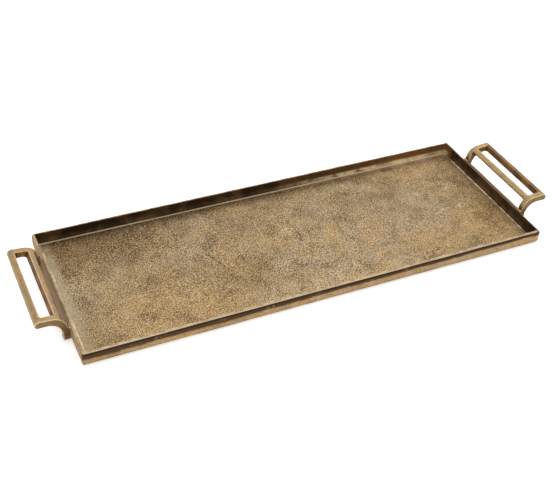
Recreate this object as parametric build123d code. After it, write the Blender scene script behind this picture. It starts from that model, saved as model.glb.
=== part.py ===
from build123d import *
import math
import os

# A long rectangular serving tray in cast brass: a shallow pan with an arched two-bar handle
# riveted to each short end, standing on four felt pads.
# Millimetres. X runs along the tray, -Y is its front, +Z is up. The origin is the centre of the
# footprint on the surface that the tray stands on.

# Pan
pan_length = 610.0
pan_width = 229.0
pan_height = 18.5
wall_thickness = 3.0
floor_thickness = 3.5
outer_corner_radius = 3.5    # vertical corners, outside
well_corner_radius = 2.5     # vertical corners, inside
cove_radius = 6.0            # inside, where the floor turns up into the walls
base_edge_radius = 2.5       # outside, where the walls turn under the floor
rim_ease = 0.8

# Felt pads
pad_diameter = 14.0
pad_thickness = 1.5
pad_inset = 24.0             # from the pan's outer faces to a pad's centre

# Handle. "Out" is the distance from the end wall.
handle_width = 136.5         # along Y, over both ribs
handle_reach = 38.5          # from the end wall to the tip
handle_rise = 19.5           # from the rim up to the crown line at the tip
rib_width = 8.0
leg_depth = 8.0              # the legs stand out this far from the wall
leg_lift = 1.2               # the legs stop this far above the pan's underside
shoulder_out = 1.9           # the arch rises from the top of the leg this far out
shoulder_drop = 0.5          # and starts to bend outwards this far below the rim
crown_slope = 5.0            # degrees, climbing outwards
hollow_radius = 17.5         # under the arch
tip_thickness = 11.0         # crown line to the underside line at the tip
underside_slope = 4.0        # degrees, falling outwards
nose_top_radius = 6.0
nose_underside_radius = 4.0
middle_bar_start = 46.0      # degrees up round the shoulder from the wall
middle_bar_end = 71.0
grip_bar_width = 8.5
back_plate_thickness = 1.8
back_plate_drop = 0.8        # the back plate stops this far below the rim
slot_corner_radius = 2.0
handle_edge_ease = 0.8

# Rivets, one through each leg and the end wall, countersunk and filed flush at both ends
rivet_diameter = 4.0
rivet_head_diameter = 6.0
rivet_head_depth = 1.0
rivet_below_rim = 5.5

# Worked out from the sizes above
pan_base = pad_thickness
floor_top = pan_base + floor_thickness
rim_top = pan_base + pan_height
end_wall = pan_length / 2
leg_bottom = pan_base + leg_lift
rib_centre = handle_width / 2 - rib_width / 2
slot_length = handle_width - 2 * rib_width
crown_tip = rim_top + handle_rise
crown_foot = crown_tip - (handle_reach - shoulder_out) * math.tan(math.radians(crown_slope))
shoulder_start = rim_top - shoulder_drop
shoulder_radius = (crown_foot - shoulder_start) / math.tan(math.radians(45 - crown_slope / 2))
shoulder_centre = (shoulder_out + shoulder_radius, shoulder_start)
SIDES = {"left": -1, "right": 1}
ENDS = {"front": -1, "back": 1}


def edges_at_height(shape, height):
    return [e for e in shape.edges() if all(abs(v.Z - height) < 0.01 for v in e.vertices())]


def upright_edges(shape):
    return shape.edges().filter_by(Axis.Z)


def make_pan_casting():
    """A block with rounded edges, hollowed out to an even wall and floor."""
    block = Pos(0, 0, pan_base + pan_height / 2) * Box(pan_length, pan_width, pan_height)
    block = fillet(upright_edges(block), outer_corner_radius)
    block = fillet(edges_at_height(block, pan_base), base_edge_radius)
    well = Pos(0, 0, floor_top + pan_height / 2) * Box(
        pan_length - 2 * wall_thickness, pan_width - 2 * wall_thickness, pan_height
    )
    well = fillet(edges_at_height(well, floor_top), cove_radius)
    well = fillet(upright_edges(well), well_corner_radius)
    pan = block - well
    return fillet(edges_at_height(pan, rim_top), rim_ease)


def make_pad(side, end):
    """Felt disc under one corner of the pan."""
    x = side * (pan_length / 2 - pad_inset)
    y = end * (pan_width / 2 - pad_inset)
    return Pos(x, y, pad_thickness / 2) * Cylinder(pad_diameter / 2, pad_thickness)


def round_corner(face, corner, radius):
    """Round the corner of a flat outline that lies nearest to a given point."""
    return fillet(face.vertices().sort_by_distance(corner)[0], radius)


def handle_section():
    """Outline of a rib, drawn out from the end wall: leg, arch, crown and rounded nose."""
    tip_underside = crown_tip - tip_thickness
    underside_fall = (handle_reach - leg_depth) * math.tan(math.radians(underside_slope))
    shoulder_corner = (shoulder_out, crown_foot)
    top_corner = (handle_reach, crown_tip)
    bottom_corner = (handle_reach, tip_underside)
    hollow_corner = (leg_depth, tip_underside + underside_fall)
    arch = make_face(
        Polyline(
            (shoulder_out, leg_bottom),
            shoulder_corner,
            top_corner,
            bottom_corner,
            hollow_corner,
            (leg_depth, leg_bottom),
            close=True,
        )
    )
    arch = round_corner(arch, shoulder_corner, shoulder_radius)
    arch = round_corner(arch, top_corner, nose_top_radius)
    arch = round_corner(arch, bottom_corner, nose_underside_radius)
    arch = round_corner(arch, hollow_corner, hollow_radius)
    leg_height = rim_top - leg_bottom
    leg = Pos(leg_depth / 2, leg_bottom + leg_height / 2) * Rectangle(leg_depth, leg_height)
    return arch + leg


def across(section, thickness):
    """Thicken an upright section equally to the front and to the back."""
    return extrude(Plane.XZ * section, thickness / 2, both=True)


def middle_bar_zone():
    """Wedge from the centre of the shoulder that marks off the middle bar."""
    reach = 2 * shoulder_radius
    start = math.radians(middle_bar_start)
    stop = math.radians(middle_bar_end)
    return Pos(*shoulder_centre) * make_face(
        Polyline(
            (0, 0),
            (-reach * math.cos(start), reach * math.sin(start)),
            (-reach * math.cos(stop), reach * math.sin(stop)),
            close=True,
        )
    )


def grip_bar_zone():
    """Upright strip over the nose that marks off the grip bar."""
    return Pos(handle_reach - grip_bar_width / 2, crown_tip) * Rectangle(
        grip_bar_width, 4 * tip_thickness
    )


def on_crown(point):
    """True for a point on the top skin of the handle, from the leg to the nose."""
    line_height = crown_tip - (handle_reach - point.X) * math.tan(math.radians(crown_slope))
    from_centre = math.hypot(point.X - shoulder_centre[0], point.Z - shoulder_centre[1])
    on_line = abs(point.Z - line_height) < 0.01
    on_shoulder = abs(from_centre - shoulder_radius) < 0.01 and point.X < shoulder_centre[0]
    return on_line or on_shoulder


def slot_corner_edges(handle):
    """The short edges through the handle where a bar meets a rib beside a slot."""
    return [
        e
        for e in handle.edges()
        if all(abs(v.Y - slot_length / 2) < 0.01 for v in e.vertices())
        and e.geom_type == GeomType.LINE
        and abs(e.tangent_at(0.5).Z) > 0.6
        and e.center().Z > rim_top
    ]


def worn_edges(handle):
    """The edges that hands wear round: those of the crown at the slots, and the outer sides."""
    around_slots = [
        e
        for e in handle.edges()
        if all(on_crown(p) and abs(p.Y) < slot_length / 2 + 0.01 for p in (e @ 0, e @ 0.5, e @ 1))
    ]
    sides = [
        e
        for e in handle.edges()
        if all(abs(abs(p.Y) - handle_width / 2) < 0.01 for p in (e @ 0, e @ 0.5, e @ 1))
        and e.center().X > shoulder_out / 2 + 0.01
        and e.center().Z > leg_bottom
    ]
    return around_slots + sides


def make_back_half():
    """The handle from its middle to its back: a rib, with half of each bar and of the plate."""
    section = handle_section()
    plate_height = rim_top - back_plate_drop - leg_bottom
    half = extrude(Plane.XZ * (section & middle_bar_zone()), -rib_centre)
    half += extrude(Plane.XZ * (section & grip_bar_zone()), -rib_centre)
    half += Pos(back_plate_thickness / 2, rib_centre / 2, leg_bottom + plate_height / 2) * Box(
        back_plate_thickness, rib_centre, plate_height
    )
    half += Pos(0, rib_centre, 0) * across(section, rib_width)
    return fillet(slot_corner_edges(half), slot_corner_radius)


def make_handle_casting():
    """One casting, with the end wall at x = 0: two ribs, two bars and a back plate."""
    half = make_back_half()
    handle = half + mirror(half, Plane.XZ)
    return fillet(worn_edges(handle), handle_edge_ease)


def rivet_blank():
    """Rivet lying along +X from the wall's inner face, longer outside than it ends up."""
    shank_length = wall_thickness + leg_depth
    spare = 2.0
    shank = Pos(shank_length / 2 + spare / 2 - wall_thickness, 0, 0) * Rot(0, 90, 0) * Cylinder(
        rivet_diameter / 2, shank_length + spare
    )
    inner_head = Pos(rivet_head_depth / 2 - wall_thickness, 0, 0) * Rot(0, 90, 0) * Cone(
        rivet_head_diameter / 2, rivet_diameter / 2, rivet_head_depth
    )
    outer_head = Pos(leg_depth - rivet_head_depth / 2, 0, 0) * Rot(0, 90, 0) * Cone(
        rivet_diameter / 2, rivet_head_diameter / 2, rivet_head_depth
    )
    filed_end = Pos(leg_depth + spare / 2, 0, 0) * Rot(0, 90, 0) * Cylinder(
        rivet_head_diameter / 2, spare
    )
    return shank + inner_head + outer_head + filed_end


def make_rivet(handle_casting, end):
    """Rivet filed flush with the leg and with the inside of the end wall."""
    wall_slab = Pos(-wall_thickness / 2, 0, rim_top / 2) * Box(
        wall_thickness, handle_width, rim_top
    )
    blank = Pos(0, end * rib_centre, rim_top - rivet_below_rim) * rivet_blank()
    return blank & (handle_casting + wall_slab)


def place(piece, side):
    """Move a piece drawn at x = 0 to its end wall, turned to face outwards."""
    if side > 0:
        return Pos(end_wall, 0, 0) * piece
    return Pos(-end_wall, 0, 0) * mirror(piece, Plane.YZ)


parts = {}
pan = make_pan_casting()
handle_casting = make_handle_casting()
rivets = {end: make_rivet(handle_casting, y) for end, y in ENDS.items()}
handle = handle_casting - rivets["front"] - rivets["back"]
for side_name, side in SIDES.items():
    parts[f"{side_name}_handle"] = place(handle, side)
    for end_name, end in ENDS.items():
        rivet = place(rivets[end_name], side)
        pan -= rivet
        parts[f"{side_name}_{end_name}_rivet"] = rivet
        parts[f"{side_name}_{end_name}_pad"] = make_pad(side, end)
parts["tray_pan"] = pan

os.makedirs("parts", exist_ok=True)
for name, piece in parts.items():
    piece.label = name
    export_step(piece, f"parts/{name}.step")
    print(name, round(piece.volume, 1), "mm3", len(piece.solids()), "solid")
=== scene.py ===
import math

import bmesh
import bpy
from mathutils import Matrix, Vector


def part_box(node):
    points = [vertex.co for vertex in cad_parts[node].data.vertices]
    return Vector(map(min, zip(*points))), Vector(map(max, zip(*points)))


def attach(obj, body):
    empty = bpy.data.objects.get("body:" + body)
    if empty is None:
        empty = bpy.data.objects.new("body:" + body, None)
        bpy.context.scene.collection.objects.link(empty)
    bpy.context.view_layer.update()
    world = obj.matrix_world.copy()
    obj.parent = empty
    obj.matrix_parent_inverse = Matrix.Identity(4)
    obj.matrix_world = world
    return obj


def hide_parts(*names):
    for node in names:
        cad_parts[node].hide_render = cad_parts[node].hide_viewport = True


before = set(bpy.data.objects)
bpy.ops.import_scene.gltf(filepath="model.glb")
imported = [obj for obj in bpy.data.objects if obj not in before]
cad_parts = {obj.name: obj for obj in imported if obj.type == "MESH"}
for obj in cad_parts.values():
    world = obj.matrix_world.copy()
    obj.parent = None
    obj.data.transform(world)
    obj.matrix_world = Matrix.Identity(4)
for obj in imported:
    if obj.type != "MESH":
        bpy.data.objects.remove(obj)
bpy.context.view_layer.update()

# Pan.
# One shallow sand casting in brass: a flat floor with low walls round it. It was patinated dark
# brown and then rubbed back, so the rim, the edges and the middle of the floor shine through.

MM = 0.001
WALL = 3.0 * MM
FLOOR = 3.5 * MM
COVE = 6.0 * MM
CORNER = 3.5 * MM
WELL_CORNER = 2.5 * MM
BASE_EDGE = 2.5 * MM
RIM_EASE = 0.8 * MM
CASTING_SWELL = 0.3 * MM      # how far a cast face wanders from true
SWELL_SPREAD = 45.0 * MM      # and over what distance
PAN_CELL = 8.0 * MM           # spacing of the cuts across the pan
WALL_CUTS = (8.0 * MM, 11.5 * MM, 15.0 * MM, 17.5 * MM)


def deselect():
    bpy.ops.object.select_all(action="DESELECT")


def add_block(name, low, high):
    """A block between two corners, left in edit mode with nothing selected."""
    deselect()
    bpy.ops.mesh.primitive_cube_add(size=1, location=(low + high) / 2, scale=high - low)
    block = bpy.context.object
    block.name = name
    bpy.ops.object.transform_apply(location=True, rotation=True, scale=True)
    bpy.ops.object.mode_set(mode="EDIT")
    bpy.ops.mesh.select_all(action="DESELECT")
    return block


def pick_faces(piece, wanted):
    """Select the faces whose centre and normal pass a test."""
    bpy.ops.mesh.select_mode(type="FACE")
    bpy.ops.mesh.select_all(action="DESELECT")
    mesh = bmesh.from_edit_mesh(piece.data)
    for face in mesh.faces:
        if wanted(face.calc_center_median(), face.normal):
            face.select_set(True)
    bmesh.update_edit_mesh(piece.data)


def pick_edges(piece, wanted):
    """Select the edges whose two ends pass a test."""
    bpy.ops.mesh.select_mode(type="EDGE")
    bpy.ops.mesh.select_all(action="DESELECT")
    mesh = bmesh.from_edit_mesh(piece.data)
    for edge in mesh.edges:
        if wanted(edge.verts[0].co, edge.verts[1].co):
            edge.select_set(True)
    bmesh.update_edit_mesh(piece.data)


def round_off(piece, radius, segments, wanted):
    """Bevel the edges that pass a test, as a round of this radius."""
    pick_edges(piece, wanted)
    bpy.ops.mesh.bevel(
        offset=radius, offset_type="OFFSET", segments=segments, profile=0.5, clamp_overlap=False
    )


def cut_across(direction, places, through=(0, 0, 0)):
    """Cut the whole piece by planes at these distances from a point, along a direction."""
    for place in places:
        bpy.ops.mesh.select_all(action="SELECT")
        point = Vector(through) + Vector(direction) * place
        bpy.ops.mesh.bisect(plane_co=point, plane_no=direction)


def unevenness(piece, name, spread, swell, centre=0.5):
    """Push the surface in and out by a soft noise, as sand moulds and hand dressing leave it."""
    cloud = bpy.data.textures.new(name, "CLOUDS")
    cloud.noise_scale = spread
    cloud.noise_depth = 1
    push = piece.modifiers.new(name, "DISPLACE")
    push.texture = cloud
    push.texture_coords = "LOCAL"
    push.strength = 2 * swell
    push.mid_level = centre
    bpy.ops.object.modifier_apply(modifier=name)


def steps(low, high, gap):
    """Even places between two ends, about this far apart."""
    count = max(1, round((high - low) / gap))
    return [low + (high - low) * i / count for i in range(1, count)]


pan_low, pan_high = (Vector(corner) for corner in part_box("tray_pan"))
slack = Vector((1, 1, 1)) * CASTING_SWELL
pan_low += slack
pan_high -= slack
floor_top = pan_low.z + FLOOR
well = pan_high - Vector((WALL, WALL, 0))


def near(value, target, tolerance=0.02 * MM):
    """True where two places are the same, give or take what a bevel or a cut leaves."""
    return abs(value - target) < tolerance


def within_well(point):
    return abs(point.x) < well.x + 0.01 * MM and abs(point.y) < well.y + 0.01 * MM


def on_well_corner(point):
    return within_well(point) and near(well.x - abs(point.x), well.y - abs(point.y))


def on_outer_corner(point):
    return near(abs(point.x), pan_high.x) and near(abs(point.y), pan_high.y)


pan = add_block("cast_pan", pan_low, pan_high)
pick_faces(pan, lambda middle, normal: normal.z > 0.9)
bpy.ops.mesh.inset(thickness=WALL, use_even_offset=True)
bpy.ops.mesh.extrude_region_move(
    TRANSFORM_OT_translate={"value": (0, 0, floor_top - pan_high.z)}
)
round_off(pan, COVE, 8, lambda a, b: near(a.z, floor_top) and near(b.z, floor_top))
round_off(
    pan, WELL_CORNER, 4,
    lambda a, b: on_well_corner(a) and on_well_corner(b) and not near(a.z, b.z, 0.001 * MM),
)
round_off(pan, CORNER, 5, lambda a, b: on_outer_corner(a) and on_outer_corner(b))
round_off(pan, BASE_EDGE, 4, lambda a, b: near(a.z, pan_low.z) and near(b.z, pan_low.z))
pick_faces(pan, lambda middle, normal: normal.z > 0.9 and near(middle.z, pan_high.z))
bpy.ops.mesh.region_to_loop()
bpy.ops.mesh.bevel(offset=RIM_EASE, segments=3, profile=0.5, clamp_overlap=False)
cut_across((1, 0, 0), steps(pan_low.x, pan_high.x, PAN_CELL))
cut_across((0, 1, 0), steps(pan_low.y, pan_high.y, PAN_CELL))
cut_across((0, 0, 1), WALL_CUTS)
bpy.ops.mesh.select_all(action="SELECT")
bpy.ops.mesh.remove_doubles(threshold=0.005 * MM)
bpy.ops.mesh.normals_make_consistent(inside=False)
bpy.ops.object.mode_set(mode="OBJECT")
unevenness(pan, "casting swell", SWELL_SPREAD, CASTING_SWELL)
bpy.ops.object.shade_smooth_by_angle(angle=math.radians(35))


class Wire:
    """One output of a shader node. Arithmetic on it adds Math nodes to the same material."""

    def __init__(self, tree, output=None):
        self.tree = tree
        self.output = output

    def node(self, kind, settings=None, inputs=None, take=0):
        """Add a node, its settings first and then its sockets, and give one of its outputs."""
        made = self.tree.nodes.new(kind)
        for name, value in (settings or {}).items():
            setattr(made, name, value)
        for name, value in (inputs or {}).items():
            socket = made.inputs[name]
            if isinstance(value, Wire):
                self.tree.links.new(value.output, socket)
            elif socket.type == "RGBA":
                socket.default_value = (*value, 1)
            else:
                socket.default_value = value
        return Wire(self.tree, made.outputs[take])

    def maths(self, operation, first, second=0.0):
        return self.node("ShaderNodeMath", {"operation": operation}, {0: first, 1: second})

    def __add__(self, other):
        return self.maths("ADD", self, other)

    def __sub__(self, other):
        return self.maths("SUBTRACT", self, other)

    def __rsub__(self, other):
        return self.maths("SUBTRACT", other, self)

    def __mul__(self, other):
        return self.maths("MULTIPLY", self, other)

    def __truediv__(self, other):
        return self.maths("DIVIDE", self, other)

    def __rtruediv__(self, other):
        return self.maths("DIVIDE", other, self)

    def __abs__(self):
        return self.maths("ABSOLUTE", self)

    __radd__ = __add__
    __rmul__ = __mul__

    def least(self, other):
        return self.maths("MINIMUM", self, other)

    def most(self, other):
        return self.maths("MAXIMUM", self, other)

    def between(self, start, stop):
        """0 up to start, 1 from stop on, and a smooth rise between them."""
        return self.node(
            "ShaderNodeMapRange",
            {"interpolation_type": "SMOOTHSTEP"},
            {"Value": self, "From Min": start, "From Max": stop},
        )

    def tint(self, under, over):
        """Lay one colour over another, as strongly as this wire says."""
        return self.node(
            "ShaderNodeMix", {"data_type": "RGBA"}, {0: self, 6: under, 7: over}, take=2
        )

    def part(self, axis):
        """One of a vector's three numbers."""
        return self.node("ShaderNodeSeparateXYZ", {}, {"Vector": self}, take=axis)

    def stretched(self, scale=(1, 1, 1), turn=(0, 0, 0), shift=(0, 0, 0)):
        """This place scaled, turned and shifted, so that a pattern on it changes too."""
        return self.node(
            "ShaderNodeMapping",
            {},
            {"Vector": self, "Location": shift, "Rotation": turn, "Scale": scale},
        )

    def noise(self, size, detail=2.0, rough=0.5, warp=0.0):
        """Cloudy noise whose patches are about this many metres across."""
        return self.node(
            "ShaderNodeTexNoise",
            {},
            {
                "Vector": self,
                "Scale": 1 / size,
                "Detail": detail,
                "Roughness": rough,
                "Distortion": warp,
            },
        )

    def cracks(self, size, width, warp_size, warp):
        """Thin lines along the borders of warped cells about this many metres across."""
        cloud = self.node(
            "ShaderNodeTexNoise",
            {},
            {"Vector": self, "Scale": 1 / warp_size, "Detail": 4.0},
            take="Color",
        )
        drift = self.node("ShaderNodeVectorMath", {"operation": "SCALE"}, {0: cloud, "Scale": warp})
        place = self.node("ShaderNodeVectorMath", {"operation": "ADD"}, {0: self, 1: drift})
        border = self.node(
            "ShaderNodeTexVoronoi",
            {"feature": "DISTANCE_TO_EDGE"},
            {"Vector": place, "Scale": 1 / size},
        )
        return 1 - border.between(0.0, width / size)


def new_finish(name):
    """A material with only its shader and its output. Gives it, and the place on the piece."""
    finish = bpy.data.materials.new(name)
    finish.use_nodes = True
    place = Wire(finish.node_tree).node("ShaderNodeTexCoord", take="Object")
    return finish, place


def lay_on(colour, coats):
    """Lay coats over a colour in turn. Each says where it lies, how strongly, and its colour."""
    for where, strength, tone in coats:
        colour = (where * strength).tint(colour, tone)
    return colour


DULL_SHINE = 0.12             # patina and felt shine less than the shader's usual 0.5


def wire_up(finish, colour, metallic, roughness, height, depth, strength):
    """Feed the shader. The height is in steps of the depth, which is in metres."""
    shader = finish.node_tree.nodes["Principled BSDF"]
    bump = colour.node(
        "ShaderNodeBump", {}, {"Strength": strength, "Distance": depth, "Height": height}
    )
    feeds = {"Base Color": colour, "Metallic": metallic, "Roughness": roughness, "Normal": bump}
    shader.inputs["Specular IOR Level"].default_value = DULL_SHINE
    for name, value in feeds.items():
        if isinstance(value, Wire):
            finish.node_tree.links.new(value.output, shader.inputs[name])
        else:
            shader.inputs[name].default_value = value


OLIVE_BRASS = (0.37, 0.25, 0.12)
GOLD_BRASS = (0.48, 0.31, 0.115)
GREY_BRASS = (0.36, 0.275, 0.175)
RUBBED_BRASS = (0.56, 0.43, 0.26)
GRAIN_TOPS = (0.74, 0.57, 0.34)
GRAIN_PITS = (0.065, 0.034, 0.013)
FRESH_SCRATCH = (0.80, 0.66, 0.46)
LEFT_COVE_HIGHLIGHT = (0.48, 0.39, 0.25)
BACK_COVE_HIGHLIGHT = (0.72, 0.56, 0.33)
COVE_LINE_HIGHLIGHT = (0.9, 0.74, 0.5)
LOWER_WALL = (0.46, 0.29, 0.12)
RUBBED_RIM_AND_HIGHLIGHT = (0.78, 0.62, 0.42)
RUST_PATINA = (0.27, 0.13, 0.045)
END_PATINA = (0.23, 0.145, 0.07)
BROWN_PATINA = (0.15, 0.082, 0.030)
DARK_PATINA_AND_SHADE = (0.10, 0.052, 0.02)
BAND_DARK_BROWN = (0.062, 0.031, 0.011)
BLACK_PATINA_AND_SHADE = (0.03, 0.017, 0.008)

pan_finish, place = new_finish("pan_aged_brass")
x, y, z = place.part(0), place.part(1), place.part(2)
from_end_wall = well.x - abs(x)
from_side_wall = well.y - abs(y)
from_wall = from_end_wall.least(from_side_wall)
from_left = x + well.x
from_back = well.y - y
above_underside = z.between(3.0 * MM, 4.0 * MM)
in_well = from_wall.between(-1.2 * MM, -0.6 * MM) * above_underside
outside = 1 - in_well
rim = z.between(pan_high.z - 1.5 * MM, pan_high.z - RIM_EASE)
well_wall = in_well * from_wall.between(4.3 * MM, 3.3 * MM)
# The thin line where the cove meets the floor, which gets a painted highlight.
cove_highlight_line = in_well * from_wall.between(3.3 * MM, 4.2 * MM) * from_wall.between(COVE, 5.0 * MM)
long_side = abs(y).between(pan_high.y - 3.7 * MM, pan_high.y - 1.7 * MM)
end_face = outside * abs(x).between(pan_high.x - 3.2 * MM, pan_high.x - 1.7 * MM)

broad = place.noise(120 * MM, 3.0, 0.55)
middle = place.noise(36 * MM, 5.0, 0.62, 0.3)
small = place.stretched(shift=(0.3, 0.1, 0)).noise(12 * MM, 4.0, 0.65)
blotch = place.stretched(shift=(0.1, 0.7, 0)).noise(18 * MM, 4.0, 0.6, 0.4)
grain = place.noise(1.4 * MM, 3.0, 0.75)
crackle = place.cracks(100 * MM, 0.5 * MM, 60 * MM, 30 * MM)
crackle = crackle * place.noise(50 * MM, 2.0).between(0.52, 0.64)


def patch(x, y, ragged, centre, size, strength):
    """A soft round patch on the floor, its edge broken up by a noise."""
    across = (x - centre[0]) / size[0]
    along = (y - centre[1]) / size[1]
    reach = across * across + along * along + (ragged - 0.5) * 1.6
    return reach.between(1.1, 0.0) * strength


MARK_WIDTH = 0.9 * MM         # from the middle of a mark to where it has faded out
MARK_WANDER = 9.0 * MM
MARK_FADE = 5.0 * MM          # over which each end of a mark fades


def line_mark(x, y, wander, start, stop, strength):
    """A hair-thin mark on the floor between two places, wandering a little from side to side."""
    run = Vector(stop) - Vector(start)
    length = run.length
    run = run.normalized()
    along = (x - start[0]) * run.x + (y - start[1]) * run.y
    across = (y - start[1]) * run.x - (x - start[0]) * run.y + (wander - 0.5) * MARK_WANDER
    ends = along.between(0.0, MARK_FADE) * along.between(length, length - MARK_FADE)
    return abs(across).between(MARK_WIDTH, 0.2 * MM) * ends * strength


# Where the floor has cracks and scratches: from, to and how strong.
CASTING_CRACKS = (
    ((-0.1105, 0.016), (-0.097, -0.021), 0.85),
    ((-0.097, 0.056), (-0.101, 0.020), 0.5),
    ((-0.110, -0.062), (-0.114, -0.095), 0.6),
    ((0.076, 0.048), (0.068, -0.030), 0.6),
    ((0.012, 0.070), (0.016, 0.000), 0.5),
    ((0.013, -0.040), (0.010, -0.070), 0.4),
    ((-0.190, -0.002), (-0.204, -0.026), 0.45),
)
SCRATCHES = (
    ((0.251, -0.004), (0.245, -0.020), 0.6),
    ((0.205, -0.018), (0.238, -0.006), 0.3),
    ((-0.028, 0.060), (-0.030, 0.015), 0.4),
)

# Where the patina is thicker, or rubbed through to another tone: middle, reach and how strong.
# The first two dark patches, at the back left and along the back wall, are partly thicker patina
# and partly painted shade, where the light on the floor falls off towards the back.
DARK_PATCHES_AND_SHADE = (
    ((-0.245, 0.085), (0.15, 0.070), 0.95),
    ((-0.02, 0.114), (0.30, 0.028), 0.75),
    ((-0.055, 0.05), (0.07, 0.04), 0.4),
    ((-0.07, -0.045), (0.035, 0.05), 0.3),
    ((0.13, 0.04), (0.08, 0.035), 0.25),
    ((-0.285, -0.092), (0.05, 0.035), 0.45),
    ((-0.13, -0.015), (0.10, 0.05), 0.28),
    ((0.285, 0.02), (0.03, 0.11), 0.25),
)
GOLD_PATCHES = (
    ((-0.20, -0.072), (0.13, 0.05), 0.55),
    ((0.17, -0.065), (0.05, 0.035), 0.55),
    ((0.265, -0.055), (0.05, 0.06), 0.65),
    ((-0.01, 0.005), (0.022, 0.02), 0.5),
    ((-0.27, 0.055), (0.04, 0.05), 0.4),
)
GREY_PATCHES = (
    ((0.09, 0.025), (0.12, 0.075), 0.75),
    ((-0.05, 0.045), (0.06, 0.04), 0.5),
    ((-0.225, 0.03), (0.03, 0.03), 0.35),
)
PALE_PATCHES = (
    ((0.0, -0.090), (0.11, 0.028), 0.55),
    ((-0.16, -0.045), (0.03, 0.02), 0.4),
    ((0.11, -0.085), (0.04, 0.02), 0.35),
)

# The floor: tones of brass in clouds and patches, then patina, then grain, cracks and scratches.
colour = broad.between(0.38, 0.62).tint(OLIVE_BRASS, GREY_BRASS)
rubbed_tones = (
    (GOLD_BRASS, GOLD_PATCHES), (GREY_BRASS, GREY_PATCHES), (RUBBED_BRASS, PALE_PATCHES)
)
for tone, patches in rubbed_tones:
    for spot in patches:
        colour = patch(x, y, middle, *spot).tint(colour, tone)
colour = lay_on(colour, (
    (middle.between(0.5, 0.64), 0.55, GOLD_BRASS),
    (middle.between(0.5, 0.36), 0.65, BROWN_PATINA),
    (blotch.between(0.53, 0.66), 0.35, RUBBED_BRASS),
    (blotch.between(0.5, 0.36), 0.3, BROWN_PATINA),
))
for spot in DARK_PATCHES_AND_SHADE:
    colour = patch(x, y, middle, *spot).tint(colour, BROWN_PATINA)
# A pale band along the left wall's cove: painted highlight, the light that the cove catches.
left_cove_highlight = from_left.between(20.7 * MM, 8.7 * MM) * in_well
smooth_right_end = x.between(0.04, 0.20) * in_well
grain_shows = 1 - left_cove_highlight * 0.5 - outside * 0.4 - smooth_right_end * 0.15
cracked = crackle * 0.45
for mark in CASTING_CRACKS:
    cracked = cracked.most(line_mark(x, y, small, *mark))
colour = lay_on(colour, (
    (small.between(0.52, 0.68), 0.35, BROWN_PATINA),
    (left_cove_highlight, 0.4 + middle.between(0.62, 0.42) * 0.4, LEFT_COVE_HIGHLIGHT),
    (grain.between(0.51, 0.60), grain_shows * 0.65, GRAIN_TOPS),
    (grain.between(0.50, 0.41), grain_shows * 0.88, GRAIN_PITS),
    (cracked, in_well, BLACK_PATINA_AND_SHADE),
))
for mark in SCRATCHES:
    colour = (line_mark(x, y, small, *mark) * in_well).tint(colour, FRESH_SCRATCH)

# The walls inside: black to brown, partly patina and partly painted shade, and rust to the right
# at the back. The pale brass at the left wall's foot, in the back cove and along the line where the
# cove meets the floor is painted highlight: the light that the rounded cove catches.
# The inner walls go near black: partly patina, partly painted shade.
wall_patina_and_shade = middle.between(0.42, 0.66).tint(BLACK_PATINA_AND_SHADE, DARK_PATINA_AND_SHADE)
back_right = x.between(0.0, 0.26) * from_back.between(21.2 * MM, 11.2 * MM)
wall_patina_and_shade = (back_right * (small + 0.2)).tint(wall_patina_and_shade, RUST_PATINA)
# The left wall's foot and the back cove are kept pale, without the wall's patina: painted
# highlight.
left_wall_highlight = from_left.between(31.7 * MM, 21.7 * MM)
left_wall_highlight = left_wall_highlight * (from_side_wall - from_end_wall).between(0.0, 3.0 * MM)
back_cove_highlight = from_back.between(11.2 * MM, 7.2 * MM) * z.between(10.5 * MM, 8.0 * MM)
back_cove_highlight = back_cove_highlight * x.between(0.0, 0.16) * (0.45 + middle) * small.between(0.75, 0.40)
cove_highlights = (left_wall_highlight * z.between(15.0 * MM, 9.0 * MM)).most(back_cove_highlight)
shaded_patinated_wall = well_wall * (1 - cove_highlights)
highlight_line_reach = middle.between(0.46, 0.58).most(from_back.between(11.2 * MM, 6.2 * MM))
colour = lay_on(colour, (
    (shaded_patinated_wall, 1.0, wall_patina_and_shade),
    (back_cove_highlight * in_well, 0.7, BACK_COVE_HIGHLIGHT),
    (cove_highlight_line * highlight_line_reach, 0.5 + small * 0.5, COVE_LINE_HIGHLIGHT),
    (end_face, 0.7, END_PATINA),
    (outside, z.between(4.0 * MM, 6.0 * MM) * 0.4, LOWER_WALL),
))

# The walls outside: a flecked dark band under the rim of the long sides, gold below it, and
# brown ends.
band_foot = 12.5 * MM + x * 0.006 + (middle - 0.5) * 0.006
outer_band = (z - band_foot).between(-2.0 * MM, 1.4 * MM) * long_side
fleck = blotch.between(0.56, 0.64) * grain.between(0.5, 0.6) * 0.5
rim_shade = z.between(14.5 * MM, 17.4 * MM) * (1 - end_face)
outer_colour = lay_on(colour, (
    (outer_band, 0.96 - fleck, BAND_DARK_BROWN),
    (rim_shade, 0.8, BLACK_PATINA_AND_SHADE),
))
colour = outside.tint(colour, outer_colour)

# The rim: rubbed pale in patches, with a painted highlight along the front, and darker at the right
# end.
front_rim_highlight = (y + pan_high.y).between(2.1 * MM, 1.1 * MM)
right_rim = (pan_high.x - x).between(6.7 * MM, 3.7 * MM)
rim_colour = (small.between(0.35, 0.6) * 0.7).most(front_rim_highlight).tint(OLIVE_BRASS, RUBBED_RIM_AND_HIGHLIGHT)
rim_colour = (right_rim * 0.75).tint(rim_colour, END_PATINA)
colour = (rim * 0.95).tint(colour, rim_colour)

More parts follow.
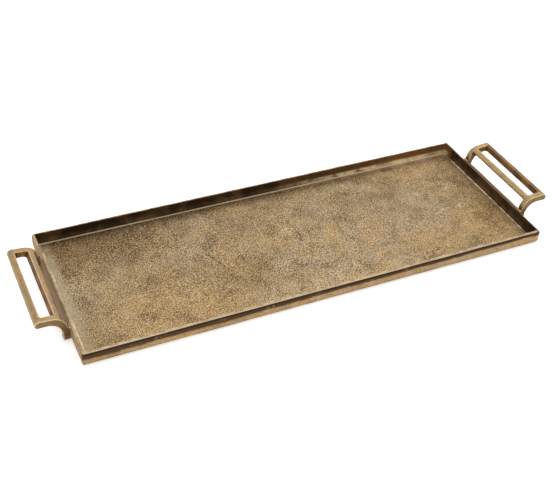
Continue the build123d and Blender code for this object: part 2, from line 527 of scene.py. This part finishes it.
patina = shaded_patinated_wall.most(outside * outer_band).most(end_face) * (1 - rim)
metallic = 1 - patina * 0.5
roughness = 0.40 + middle * 0.12 + small * 0.12 + patina * 0.1
height = grain + small * 0.6 - cracked * 0.8
wire_up(pan_finish, colour, metallic, roughness, height, 0.4 * MM, 0.9)
pan.data.materials.append(pan_finish)
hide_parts("tray_pan")
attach(pan, "root")

# Handles.
# Each end has one brass casting: two arched ribs that carry a grip bar and a second bar nearer the
# wall, and a thin plate between the legs. It was filed at the edges, and its recesses kept the
# dark patina. The legs lie against the end wall and are riveted through it.

RIB = 8.0 * MM
LEG_DEPTH = 8.0 * MM          # "out" is the distance from the end wall's outer face
SINK = 1.0 * MM               # the casting's back lies this far inside the wall's face
SHOULDER_OUT = 1.9 * MM
REACH = 38.3 * MM
CROWN_FOOT = 36.2 * MM
CROWN_TIP = 39.3 * MM
HOLLOW_FOOT = 30.6 * MM       # underside line carried back to the leg
HOLLOW_TIP = 28.6 * MM
SHOULDER_REACH = 16.0 * MM    # how far each rounding eats into its two faces
HOLLOW_REACH = 18.6 * MM
NOSE_TOP_REACH = 6.5 * MM
NOSE_FOOT_REACH = 4.2 * MM
SHOULDER_CENTRE = (20.2 * MM, 19.5 * MM)
MIDDLE_BAR = (math.radians(43), math.radians(71))
GRIP_BAR_START = 30.0 * MM
PLATE = 1.8 * MM
PLATE_TOP = 19.2 * MM
SLOT_CORNER = 2.0 * MM
HANDLE_VOXEL = 0.7 * MM
HANDLE_SWELL = 0.25 * MM
HANDLE_SWELL_SPREAD = 14.0 * MM

end_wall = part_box("tray_pan")[1].x
rim_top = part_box("tray_pan")[1].z
handle_low, handle_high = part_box("right_handle")
half_width = handle_high.y - 0.1 * MM
slot_end = half_width - RIB


def pick_line(piece, out, height):
    """Select the edges that run across the handle at one distance from the wall and height."""
    pick_edges(
        piece,
        lambda a, b: all(near(p.x - end_wall, out) and near(p.z, height) for p in (a, b)),
    )


def round_line(piece, out, height, reach, segments):
    """Round one of those edges. The round eats this far into both faces."""
    pick_line(piece, out, height)
    bpy.ops.mesh.bevel(
        offset=reach, offset_type="OFFSET", segments=segments, profile=0.5, clamp_overlap=False
    )


def past_ray(point, angle):
    """How far a point lies past a ray from the middle of the shoulder, away from the wall."""
    out = point.x - end_wall - SHOULDER_CENTRE[0]
    up = point.z - SHOULDER_CENTRE[1]
    return out * math.sin(angle) + up * math.cos(angle)


def bridge_ribs(piece, wanted):
    """Join the two ribs by a bar between the slot faces that pass a test."""
    pick_faces(piece, lambda middle, normal: near(abs(middle.y), slot_end) and wanted(middle))
    bpy.ops.mesh.bridge_edge_loops()


handle = add_block(
    "right_cast_handle",
    Vector((end_wall - SINK, -half_width, handle_low.z)),
    Vector((end_wall + LEG_DEPTH, -slot_end, rim_top)),
)
cut_across((1, 0, 0), [end_wall + SHOULDER_OUT])
pick_faces(
    handle, lambda middle, normal: normal.z > 0.9 and middle.x > end_wall + SHOULDER_OUT
)
bpy.ops.mesh.extrude_region_move(
    TRANSFORM_OT_translate={"value": (0, 0, CROWN_FOOT - rim_top)}
)
cut_across((0, 0, 1), [HOLLOW_FOOT])
pick_faces(handle, lambda middle, normal: normal.x > 0.9 and middle.z > HOLLOW_FOOT)
bpy.ops.mesh.extrude_region_move(
    TRANSFORM_OT_translate={"value": (REACH - LEG_DEPTH, 0, 0)}
)
bpy.ops.mesh.select_all(action="SELECT")
bpy.ops.mesh.dissolve_limited(angle_limit=math.radians(0.5))
pick_line(handle, REACH, CROWN_FOOT)
bpy.ops.transform.translate(value=(0, 0, CROWN_TIP - CROWN_FOOT))
pick_line(handle, REACH, HOLLOW_FOOT)
bpy.ops.transform.translate(value=(0, 0, HOLLOW_TIP - HOLLOW_FOOT))
round_line(handle, SHOULDER_OUT, CROWN_FOOT, SHOULDER_REACH, 12)
round_line(handle, LEG_DEPTH, HOLLOW_FOOT, HOLLOW_REACH, 12)
round_line(handle, REACH, CROWN_TIP, NOSE_TOP_REACH, 6)
round_line(handle, REACH, HOLLOW_TIP, NOSE_FOOT_REACH, 5)
for angle in MIDDLE_BAR:
    cut_across(
        (math.sin(angle), 0, math.cos(angle)),
        [0],
        through=(end_wall + SHOULDER_CENTRE[0], 0, SHOULDER_CENTRE[1]),
    )
cut_across((1, 0, 0), [end_wall + GRIP_BAR_START, end_wall + PLATE])
cut_across((0, 0, 1), [PLATE_TOP])
bpy.ops.mesh.select_all(action="SELECT")
bpy.ops.mesh.duplicate()
bpy.ops.transform.resize(value=(1, -1, 1), center_override=(0, 0, 0))
bpy.ops.mesh.flip_normals()
bridge_ribs(
    handle,
    lambda middle: middle.z > rim_top
    and past_ray(middle, MIDDLE_BAR[0]) > 0
    and past_ray(middle, MIDDLE_BAR[1]) < 0,
)
bridge_ribs(handle, lambda middle: middle.x > end_wall + GRIP_BAR_START)
bridge_ribs(handle, lambda middle: middle.x < end_wall + PLATE and middle.z < PLATE_TOP)


def on_bar_side(point):
    """True where a bar's side meets a rib, at the end of a slot."""
    rays = [abs(past_ray(point, angle)) < 0.02 * MM for angle in MIDDLE_BAR]
    return near(abs(point.y), slot_end) and (any(rays) or near(point.x, end_wall + GRIP_BAR_START))


round_off(
    handle, SLOT_CORNER, 4,
    lambda a, b: on_bar_side(a) and on_bar_side(b) and near(a.y, b.y)
    and abs(a.z - b.z) > 3 * MM and a.z > rim_top,
)
bpy.ops.mesh.select_all(action="SELECT")
bpy.ops.mesh.remove_doubles(threshold=0.005 * MM)
bpy.ops.mesh.normals_make_consistent(inside=False)
bpy.ops.object.mode_set(mode="OBJECT")
skin = handle.modifiers.new("skin", "REMESH")
skin.mode = "VOXEL"
skin.voxel_size = HANDLE_VOXEL
bpy.ops.object.modifier_apply(modifier="skin")
soften = handle.modifiers.new("soften", "SMOOTH")
soften.factor = 0.5
soften.iterations = 5
bpy.ops.object.modifier_apply(modifier="soften")
unevenness(handle, "handle swell", HANDLE_SWELL_SPREAD, HANDLE_SWELL, centre=0.7)
bpy.ops.object.shade_smooth()
bpy.ops.geometry.color_attribute_add(
    name="hollows_and_edges", domain="CORNER", data_type="FLOAT_COLOR", color=(1, 1, 1, 1)
)
bpy.ops.paint.vertex_color_dirt(
    blur_strength=1.0,
    blur_iterations=2,
    dirt_angle=math.radians(70),
    clean_angle=math.radians(110),
    normalize=False,
)

BAR_OLIVE = (0.35, 0.262, 0.142)
BAR_GOLD = (0.45, 0.288, 0.135)
WORN_EDGE_AND_HIGHLIGHT = (0.72, 0.57, 0.38)
RIB_PATINA = (0.21, 0.125, 0.05)
PLATE_PATINA = (0.25, 0.16, 0.08)
LEG_SHADE = (0.11, 0.06, 0.024)
UNDERSIDE_SHADE = (0.08, 0.042, 0.016)
RECESS_PATINA = (0.05, 0.027, 0.012)
BAR_EDGE_SHADE = (0.09, 0.048, 0.02)
SLOT_PATINA = (0.09, 0.042, 0.014)
SLOT_RUST = (0.29, 0.11, 0.018)
GRIP_PATINA_AND_SHADE = (0.13, 0.07, 0.028)
GRIP_RUST = (0.27, 0.125, 0.035)

handle_finish, place = new_finish("handle_aged_brass")
x, y, z = place.part(0), place.part(1), place.part(2)
facing_up = place.node("ShaderNodeTexCoord", take="Normal").part(2)
hollows_and_edges = place.node("ShaderNodeAttribute", {"attribute_name": "hollows_and_edges"}, take="Fac")
out = abs(x) - end_wall
into_rib = abs(y) - slot_end
over_rim = z - rim_top
middle = place.noise(17 * MM, 4.0, 0.62)
small = place.noise(6 * MM, 3.0, 0.6)
grain = place.noise(2.4 * MM, 3.0, 0.7)

# Where each part of the casting lies.
upright = 1 - facing_up.between(0.25, 0.75)
between_ribs = into_rib.between(1.85 * MM, -0.15 * MM)
slot_side = upright * into_rib.between(2.35 * MM, 0.35 * MM)
slot_side = slot_side * out.between(37.0 * MM, 35.5 * MM) * out.between(3.0 * MM, 6.0 * MM)
rib_side = upright * into_rib.between(RIB - 1.55 * MM, RIB - 0.55 * MM)
# Faces that look down are darkened: painted shade.
under = facing_up.between(-0.15, -0.6) * out.between(8.0 * MM, 12.0 * MM)
# The legs by the wall, under the arch, are darkened with a noise: painted shade.
leg = out.between(13.0 * MM, 9.0 * MM) * over_rim.between(7.0 * MM, -1.0 * MM)
recess = hollows_and_edges.between(0.49, 0.43)
# Sharp edges that face up are pale: partly wear, partly painted highlight.
edge = hollows_and_edges.between(0.55, 0.64) * facing_up.between(-0.45, 0.1) * (1 - slot_side * 0.5)
# The inside of the right grip bar, turned from the light, goes rust brown: rust and painted shade.
grip_inside = out.between(36.5 * MM, 34.0 * MM) * out.between(28.5 * MM, 30.5 * MM)
right_grip_rust_and_shade = grip_inside * between_ribs * x.between(0.0, end_wall)
# A dark line along the middle bar's edge by the wall: painted shade in the gap next to the rim.
bar_edge_shade = out.between(8.6 * MM, 7.4 * MM) * out.between(4.0 * MM, 6.0 * MM)
bar_edge_shade = bar_edge_shade * over_rim.between(7.0 * MM, 9.0 * MM) * between_ribs
plate = out.between(2.6 * MM, 2.2 * MM) * into_rib.between(0.85 * MM, -0.15 * MM)

slot_colour = middle.between(0.42, 0.62).tint(SLOT_PATINA, SLOT_RUST)
grip_rust_and_shade = middle.between(0.4, 0.6).tint(GRIP_PATINA_AND_SHADE, GRIP_RUST)
colour = lay_on(middle.between(0.40, 0.60).tint(BAR_OLIVE, BAR_GOLD), (
    (small.between(0.52, 0.66), 0.35, RUST_PATINA),
    (rib_side, 0.85, RIB_PATINA),
    (under, 0.8, UNDERSIDE_SHADE),
    (leg, 0.5 + middle.between(0.6, 0.4) * 0.45, LEG_SHADE),
    (slot_side, 0.9, slot_colour),
    (recess, 0.85, RECESS_PATINA),
    (edge, 0.85, WORN_EDGE_AND_HIGHLIGHT),
    (right_grip_rust_and_shade, 0.8, grip_rust_and_shade),
    (bar_edge_shade, 0.8, BAR_EDGE_SHADE),
    (plate, 0.9, PLATE_PATINA),
    (grain.between(0.50, 0.34), 0.5, BROWN_PATINA),
))

patina = slot_side.most(plate).most(recess).most(under).most(rib_side * 0.5)
metallic = 1 - patina * 0.7
roughness = 0.36 + middle * 0.12 + small * 0.1 + patina * 0.15
height = grain * 0.7 + small * 0.6
wire_up(handle_finish, colour, metallic, roughness, height, 0.3 * MM, 0.6)
handle.data.materials.clear()
handle.data.materials.append(handle_finish)


def mirror_copy(piece, name, sides):
    """A copy with its own mesh, mirrored where a side is -1: (-1, 1) goes to the left end."""
    deselect()
    piece.select_set(True)
    bpy.context.view_layer.objects.active = piece
    bpy.ops.object.duplicate()
    made = bpy.context.object
    made.name = name
    made.scale = (sides[0], sides[1], 1)
    bpy.ops.object.transform_apply(location=True, rotation=True, scale=True)
    bpy.ops.object.mode_set(mode="EDIT")
    bpy.ops.mesh.select_all(action="SELECT")
    bpy.ops.mesh.normals_make_consistent(inside=False)
    bpy.ops.object.mode_set(mode="OBJECT")
    return made


left_handle = mirror_copy(handle, "left_cast_handle", (-1, 1))
for side, piece in (("right", handle), ("left", left_handle)):
    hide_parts(side + "_handle")
    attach(piece, "root")

# Rivets.
# A brass rivet goes through each leg and the end wall. Both ends were peened into countersinks and
# dressed nearly flush, then patinated with the casting, so only a faint ring and dome show.

RIVET_RADIUS = 3.0 * MM
RIVET_INSIDE = 0.1 * MM       # how far a head stands out of the wall's inner face
RIVET_OUTSIDE = 8.5 * MM      # from the end wall to the middle of the head on the leg
RIVET_TILT = 8.4              # degrees, to follow the leg where it starts to arch
RIVET_DOME = 0.1 * MM         # how far each of the two inner rings rises
RIVET_RING = 0.9 * MM         # and how wide each ring is
RIVET_EDGE = 0.25 * MM

rivet_low, rivet_high = (Vector(corner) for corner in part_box("right_front_rivet"))
inner_end = end_wall - WALL - RIVET_INSIDE
outer_end = end_wall + RIVET_OUTSIDE
rivet_middle = Vector((
    (inner_end + outer_end) / 2, (rivet_low.y + rivet_high.y) / 2, (rivet_low.z + rivet_high.z) / 2
))


def near_axis(point):
    """True for a point close to the rivet's axis."""
    return (point.yz - rivet_middle.yz).length < 0.3 * MM


deselect()
bpy.ops.mesh.primitive_cylinder_add(
    vertices=40,
    radius=RIVET_RADIUS,
    depth=outer_end - inner_end,
    location=rivet_middle,
    rotation=(0, math.radians(90), 0),
)
rivet = bpy.context.object
rivet.name = "right_front_peened_rivet"
bpy.ops.object.transform_apply(location=True, rotation=True, scale=True)
bpy.ops.object.mode_set(mode="EDIT")
pick_faces(rivet, lambda middle, normal: abs(normal.x) > 0.9)
bpy.ops.mesh.region_to_loop()
bpy.ops.mesh.bevel(offset=RIVET_EDGE, segments=3, profile=0.5, clamp_overlap=False)
for ring in range(2):
    pick_faces(rivet, lambda middle, normal: abs(normal.x) > 0.9 and near_axis(middle))
    bpy.ops.mesh.inset(thickness=RIVET_RING)
    bpy.ops.transform.resize(
        value=(1 + 2 * RIVET_DOME / (outer_end - inner_end), 1, 1), center_override=rivet_middle
    )
pick_faces(rivet, lambda middle, normal: middle.x > rivet_middle.x + 1 * MM)
bpy.ops.transform.rotate(
    value=-math.radians(RIVET_TILT),
    orient_axis="Y",
    center_override=(outer_end, rivet_middle.y, rivet_middle.z),
)
bpy.ops.mesh.select_all(action="SELECT")
bpy.ops.mesh.normals_make_consistent(inside=False)
bpy.ops.object.mode_set(mode="OBJECT")
bpy.ops.object.shade_smooth_by_angle(angle=math.radians(40))

HEAD_PATINA = (0.16, 0.09, 0.038)
HEAD_BRASS = (0.32, 0.205, 0.10)

rivet_finish, place = new_finish("rivet_aged_brass")
middle = place.noise(5 * MM, 3.0, 0.6)
grain = place.noise(1.2 * MM, 3.0, 0.7)
on_leg = (abs(place.part(0)) - end_wall).between(2 * MM, 4 * MM)
# The inner head goes near black like the inner wall: partly patina, partly painted shade.
inner_colour = middle.between(0.4, 0.65).tint(BLACK_PATINA_AND_SHADE, DARK_PATINA_AND_SHADE)
outer_colour = middle.between(0.4, 0.6).tint(HEAD_PATINA, HEAD_BRASS)
colour = lay_on(inner_colour, (
    (on_leg, 1.0, outer_colour),
    (grain.between(0.5, 0.34), 0.5, BROWN_PATINA),
))
wire_up(rivet_finish, colour, 0.75, 0.42 + middle * 0.15, grain, 0.2 * MM, 0.6)
rivet.data.materials.append(rivet_finish)

OTHER_CORNERS = {"right_back": (1, -1), "left_front": (-1, 1), "left_back": (-1, -1)}
rivets = {"right_front_rivet": rivet}
for corner, sides in OTHER_CORNERS.items():
    rivets[corner + "_rivet"] = mirror_copy(rivet, corner + "_peened_rivet", sides)
for node, piece in rivets.items():
    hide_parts(node)
    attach(piece, "root")

# Felt pads.
# Discs punched from thin dark brown wool felt and glued under the corners of the pan, so that the
# brass doesn't scratch a table. Their cut edge is soft and the face is fuzzy and a little pressed.

PAD_RADIUS = 6.9 * MM
PAD_EDGE = 0.45 * MM
PAD_CLEAR = 0.1 * MM          # room for the fuzz above the table
PAD_TOP = 1.85 * MM           # glued against the pan's uneven underside
PAD_VOXEL = 0.22 * MM
FUZZ = 0.1 * MM
PRESSED = 0.08 * MM           # how far the felt's face is pressed in here and there

pad_low, pad_high = (Vector(corner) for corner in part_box("right_front_pad"))
pad_middle = (pad_low + pad_high) / 2
deselect()
bpy.ops.mesh.primitive_cylinder_add(
    vertices=64,
    radius=PAD_RADIUS,
    depth=PAD_TOP - PAD_CLEAR,
    location=(pad_middle.x, pad_middle.y, (PAD_TOP + PAD_CLEAR) / 2),
)
pad = bpy.context.object
pad.name = "right_front_felt_pad"
bpy.ops.object.transform_apply(location=True, rotation=True, scale=True)
bpy.ops.object.mode_set(mode="EDIT")
pick_faces(pad, lambda middle, normal: abs(normal.z) > 0.9)
bpy.ops.mesh.region_to_loop()
bpy.ops.mesh.bevel(offset=PAD_EDGE, segments=3, profile=0.5, clamp_overlap=False)
bpy.ops.object.mode_set(mode="OBJECT")
skin = pad.modifiers.new("skin", "REMESH")
skin.mode = "VOXEL"
skin.voxel_size = PAD_VOXEL
bpy.ops.object.modifier_apply(modifier="skin")
unevenness(pad, "pressed felt", 3.5 * MM, PRESSED, centre=0.7)
unevenness(pad, "felt fuzz", 0.6 * MM, FUZZ, centre=0.7)
bpy.ops.object.shade_smooth()

FELT_BROWN = (0.075, 0.047, 0.028)
FELT_TUFTS = (0.12, 0.078, 0.048)
FELT_FIBRES = (0.20, 0.145, 0.10)

pad_finish, place = new_finish("pad_brown_felt")
fibres = place.stretched((1, 0.25, 1), turn=(0, 0, 0.6)).noise(0.35 * MM, 3.0, 0.7, 1.5)
cross_fibres = place.stretched((0.25, 1, 1), turn=(0, 0, 0.3)).noise(0.35 * MM, 3.0, 0.7, 1.5)
tufts = place.noise(2.5 * MM, 3.0, 0.6)
matted = fibres.most(cross_fibres)
colour = tufts.between(0.35, 0.65).tint(FELT_BROWN, FELT_TUFTS)
colour = (matted.between(0.52, 0.68) * 0.6).tint(colour, FELT_FIBRES)
wire_up(pad_finish, colour, 0.0, 0.92 + tufts * 0.08, matted + tufts, 0.5 * MM, 1.0)
pad_shader = pad_finish.node_tree.nodes["Principled BSDF"]
pad_shader.inputs["Sheen Weight"].default_value = 0.08
pad_shader.inputs["Sheen Roughness"].default_value = 0.6
pad.data.materials.append(pad_finish)

pads = {"right_front_pad": pad}
for corner, sides in OTHER_CORNERS.items():
    pads[corner + "_pad"] = mirror_copy(pad, corner + "_felt_pad", sides)
for node, piece in pads.items():
    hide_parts(node)
    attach(piece, "root")

# Table top, light and camera.
# The tray stands on a large matt white table, in even white light from all round with one soft
# box over its back right corner. The camera looks down on it from the front left.

TABLE = 14.0
TABLE_WHITE = (0.92, 0.92, 0.92, 1)
WHITE = (1, 1, 1, 1)

deselect()
bpy.ops.mesh.primitive_plane_add(size=TABLE, location=(0, 0, 0))
table = bpy.context.object
table.name = "table_top"
table_finish, place = new_finish("plain_white_table")
table_shader = table_finish.node_tree.nodes["Principled BSDF"]
table_shader.inputs["Base Color"].default_value = TABLE_WHITE
table_shader.inputs["Roughness"].default_value = 0.9
table_shader.inputs["Specular IOR Level"].default_value = 0.0
table_shader.inputs["Emission Color"].default_value = WHITE
table_shader.inputs["Emission Strength"].default_value = 0.45
table.data.materials.append(table_finish)

studio = bpy.data.worlds.new("studio")
studio.use_nodes = True
backdrop = studio.node_tree.nodes["Background"]
backdrop.inputs["Color"].default_value = WHITE
backdrop.inputs["Strength"].default_value = 1.0
bpy.context.scene.world = studio
bpy.context.scene.view_settings.view_transform = "Standard"

lamp_data = bpy.data.lights.new("soft_box", "AREA")
lamp_data.shape = "RECTANGLE"
lamp_data.size = 1.6
lamp_data.size_y = 1.2
lamp_data.energy = 6
lamp = bpy.data.objects.new("soft_box", lamp_data)
lamp.location = (0.8, 1.3, 1.5)
lamp.rotation_euler = (Vector((0, 0, 0)) - lamp.location).to_track_quat("-Z", "Y").to_euler()
bpy.context.scene.collection.objects.link(lamp)

camera_data = bpy.data.cameras.new("camera")
camera_data.sensor_width = 36
camera_data.lens = 63.186
camera = bpy.data.objects.new("camera", camera_data)
camera.location = (-0.45863, -0.87136, 0.77895)
camera.rotation_euler = [math.radians(turn) for turn in (51.1918, -2.8217, -24.6368)]
bpy.context.scene.collection.objects.link(camera)
bpy.context.scene.camera = camera
